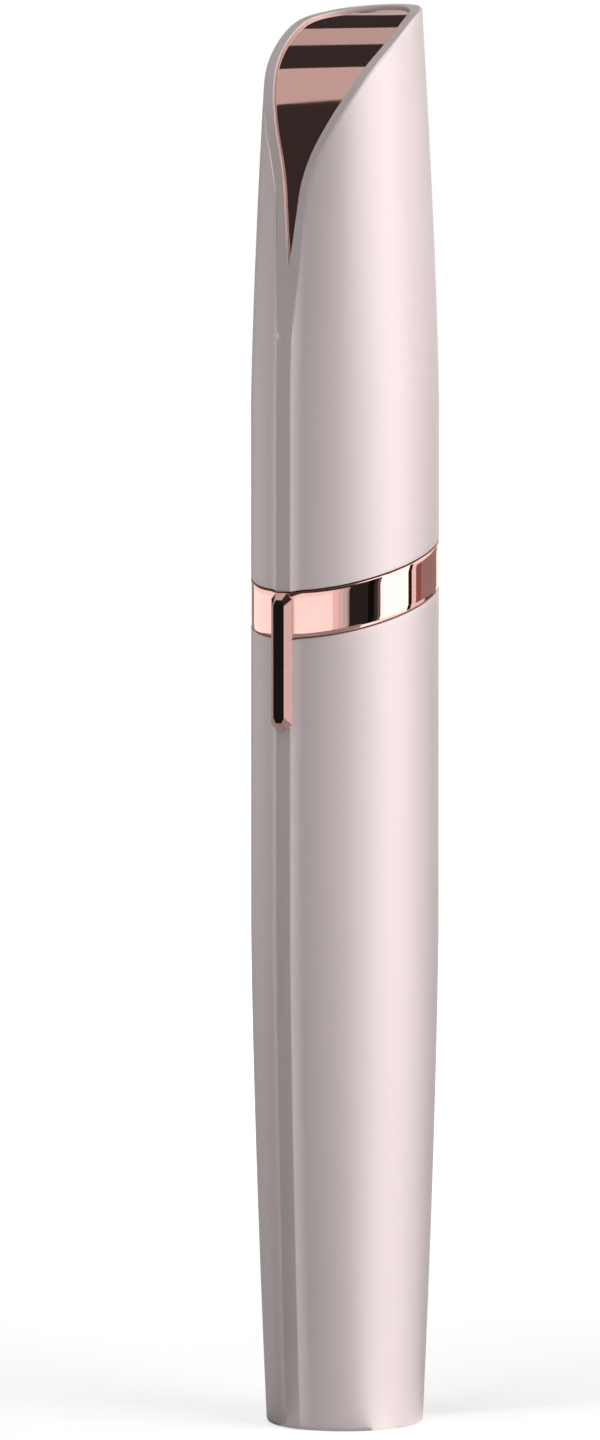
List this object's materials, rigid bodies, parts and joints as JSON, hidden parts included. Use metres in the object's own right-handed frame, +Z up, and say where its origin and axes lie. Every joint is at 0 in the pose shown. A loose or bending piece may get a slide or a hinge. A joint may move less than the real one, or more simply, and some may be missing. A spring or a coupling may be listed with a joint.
{
  "type": "electric eyebrow trimmer",
  "caption": "Slim electric eyebrow trimmer with a pearl handle and cap, a slanted rose gold band, a switch bar on its keel, and a lit slotted tip over a rotary cutter.",
  "frame": {"origin": "centre of the flat base that the trimmer stands on", "axes": "+Z up along the axis from the base to the slanted top of the cap, -Y out through the keel that carries the switch bar, +X to the right of someone who faces the keel"},
  "size_m": [0.0186, 0.0196, 0.14],
  "materials": {
    "pearl_satin": "satin pearl lacquer",
    "rose_gold_mirror": "mirror plated, rose gold",
    "rose_gold_satin": "satin plated, rose gold",
    "light_guide": "milky, lit from below",
    "grey_plastic": "fine moulded texture",
    "black_plastic": "moulded",
    "white_plastic": "moulded",
    "steel": "drawn, bright",
    "nickel": "nickel plated",
    "brass": "turned",
    "magnet": "sintered",
    "copper": "enamelled winding",
    "board_green": "solder mask",
    "rubber": "moulded",
    "foam": "soft foam",
    "battery_jacket": "plain sleeve",
    "lead_red": "insulated wire",
    "lead_black": "insulated wire",
    "led_yellow": "phosphor and resin"
  },
  "bodies": {
    "handle": {"handle_shell": "pearl_satin", "handle_pad": "foam"},
    "chassis": {"chassis_frame": "grey_plastic", "seal_ring": "rubber", "battery_cell": "battery_jacket", "battery_terminal": "nickel", "positive_contact": "nickel", "negative_contact": "nickel", "battery_spring": "nickel", "control_board": "board_green", "board_screw_left": "steel", "board_screw_right": "steel", "switch_housing": "black_plastic", "motor_lead_black": "lead_black", "motor_lead_red": "lead_red", "light_lead": "lead_red", "band_ring": "rose_gold_mirror", "nose_cone": "rose_gold_mirror", "motor_can": "steel", "motor_magnet": "magnet", "motor_end_cap": "white_plastic", "motor_carrier": "grey_plastic", "spindle_housing": "grey_plastic", "spindle_bush": "brass", "light_ring": "light_guide", "led_board": "white_plastic", "led_1": "led_yellow", "led_2": "led_yellow", "led_3": "led_yellow", "led_4": "led_yellow"},
    "cap": {"cap_shell": "pearl_satin", "cap_plate": "rose_gold_mirror"},
    "switch": {"switch_bar": "rose_gold_mirror", "switch_knob": "white_plastic"},
    "guard": {"tip_guard": "rose_gold_satin", "guard_collar": "black_plastic"},
    "rotor": {"motor_rotor": "copper", "drive_coupling": "white_plastic", "cutter_spindle": "steel", "cutter_spring": "steel", "cutter_head": "steel"}
  },
  "joints": [
    {"name": "chassis_slide", "type": "slide", "parent": "handle", "child": "chassis", "axis": [0, 0, 1], "range_m": [0, 0.08]},
    {"name": "cap_slide", "type": "slide", "parent": "chassis", "child": "cap", "axis": [0, 0, 1], "range_m": [0, 0.05]},
    {"name": "switch_slide", "type": "slide", "parent": "chassis", "child": "switch", "axis": [0, 0, 1], "range_m": [0, 0.0015]},
    {"name": "guard_slide", "type": "slide", "parent": "chassis", "child": "guard", "axis": [0, 0, 1], "range_m": [0, 0.0035]},
    {"name": "rotor_spin", "type": "hinge", "parent": "chassis", "child": "rotor", "pos_m": [0, 0, 0.101], "axis": [0, 0, 1], "continuous": true}
  ]
}
